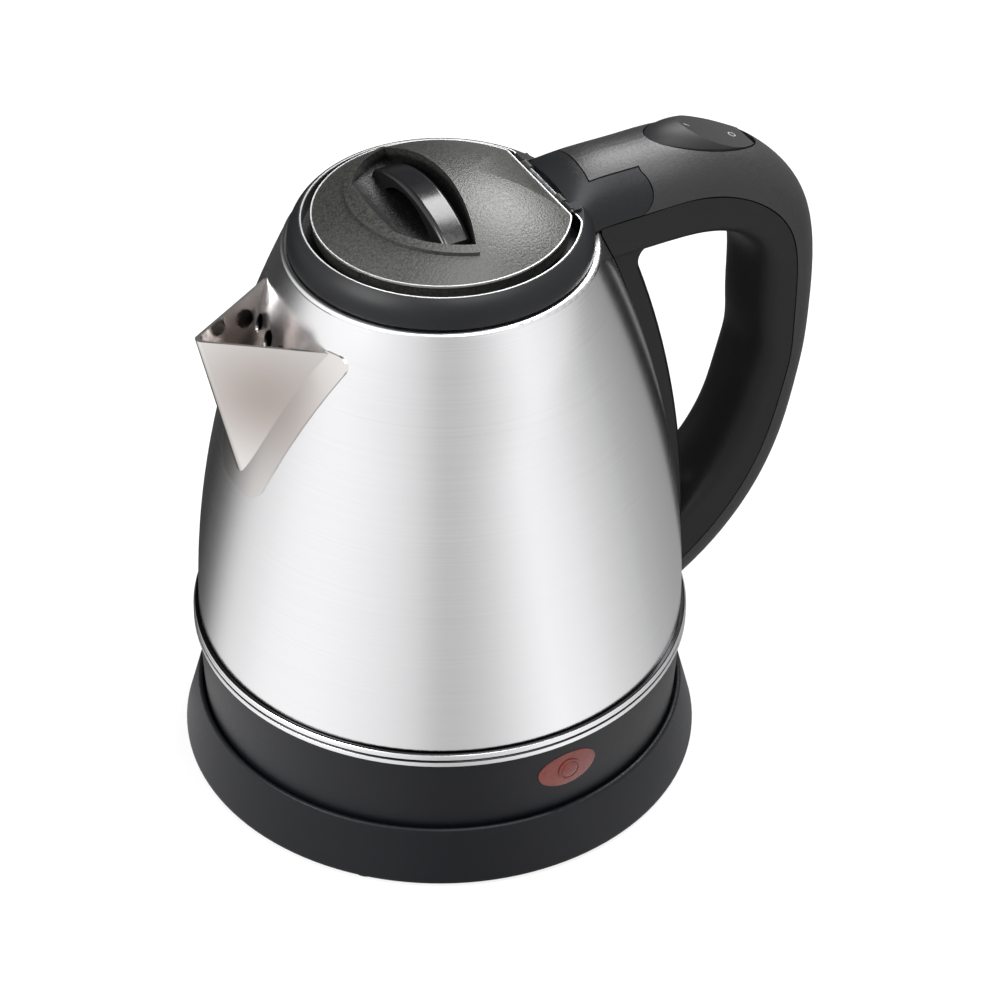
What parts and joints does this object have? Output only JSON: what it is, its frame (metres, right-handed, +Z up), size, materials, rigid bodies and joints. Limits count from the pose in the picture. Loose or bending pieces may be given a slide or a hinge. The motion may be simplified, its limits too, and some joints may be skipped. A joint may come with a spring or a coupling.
{
  "type": "electric kettle",
  "caption": "Cordless electric kettle: tapered steel jug with a beak spout, loop handle with rocker switch, hinged lid with a bar grip, and a round power base it lifts from.",
  "frame": {"origin": "middle of the plane that the power base stands on, on the axis of the jug", "axes": "+Z up along the axis of the jug and base, +X towards the handle, -X towards the spout, -Y towards the indicator lens"},
  "size_m": [0.2061, 0.16, 0.2045],
  "materials": {
    "charcoal_plastic": "satin moulded",
    "grained_plastic": "fine grained matt",
    "gloss_black_plastic": "gloss",
    "black_plastic": "satin",
    "polished_steel": "polished to a soft mirror",
    "bright_trim": "bright",
    "plain_steel": "plain",
    "amber_lens": "clear amber red",
    "lamp_glass": "clear",
    "rubber": "matt",
    "contact_brass": "plain",
    "heater_aluminium": "plain cast and drawn",
    "pale_plastic": "heat resisting moulding",
    "wire_insulation": "satin sleeve"
  },
  "bodies": {
    "base": {"base_top_cover": "charcoal_plastic", "base_bottom_cover": "charcoal_plastic", "base_feet": "rubber", "base_screws": "plain_steel", "cord_gland": "rubber", "base_connector": "pale_plastic", "base_contacts": "contact_brass"},
    "socket": {"kettle_socket": "pale_plastic", "socket_contacts": "contact_brass"},
    "kettle": {"skirt": "charcoal_plastic", "collar": "charcoal_plastic", "handle_inner_shell": "charcoal_plastic", "handle_outer_shell": "grained_plastic", "lamp_clip": "black_plastic", "body_shell": "polished_steel", "spout": "polished_steel", "heater_plate": "polished_steel", "collar_trim": "bright_trim", "skirt_screws": "plain_steel", "plate_studs": "plain_steel", "lid_hinge_pin": "plain_steel", "handle_screws": "plain_steel", "handle_brackets": "plain_steel", "rocker_pin": "plain_steel", "lever_pin": "plain_steel", "control_bimetals": "plain_steel", "steam_bimetal": "plain_steel", "indicator_lens": "amber_lens", "indicator_lamp": "lamp_glass", "collar_seal": "rubber", "heat_diffuser": "heater_aluminium", "heating_element": "heater_aluminium", "thermostat_control": "pale_plastic", "steam_switch": "pale_plastic", "handle_wires": "wire_insulation"},
    "lid": {"lid_cover": "grained_plastic", "lid_trim": "bright_trim", "lid_grip": "gloss_black_plastic", "lid_base": "charcoal_plastic", "lid_seal": "rubber", "lid_screws": "plain_steel"},
    "rocker": {"rocker": "black_plastic"},
    "switch_lever": {"switch_lever": "black_plastic"}
  },
  "joints": [
    {"name": "lift_off", "type": "slide", "parent": "base", "child": "socket", "axis": [0, 0, 1], "range_m": [0, 0.06]},
    {"name": "swivel", "type": "hinge", "parent": "socket", "child": "kettle", "pos_m": [0, 0, 0], "axis": [0, 0, 1], "continuous": true},
    {"name": "lid_hinge", "type": "hinge", "parent": "kettle", "child": "lid", "pos_m": [0.0338, 0, 0.1906], "axis": [0, 1, 0], "range_deg": [0, 75]},
    {"name": "rocker_turn", "type": "hinge", "parent": "kettle", "child": "rocker", "pos_m": [0.08576, 0, 0.18835], "axis": [0, -1, 0], "range_deg": [0, 8]},
    {"name": "lever_turn", "type": "hinge", "parent": "kettle", "child": "switch_lever", "pos_m": [0.08034, 0, 0.17329], "axis": [0, 1, 0], "range_deg": [0, 8]}
  ],
  "couplings": [
    {"joint": "lever_turn", "follows": "rocker_turn", "ratio": 1}
  ]
}
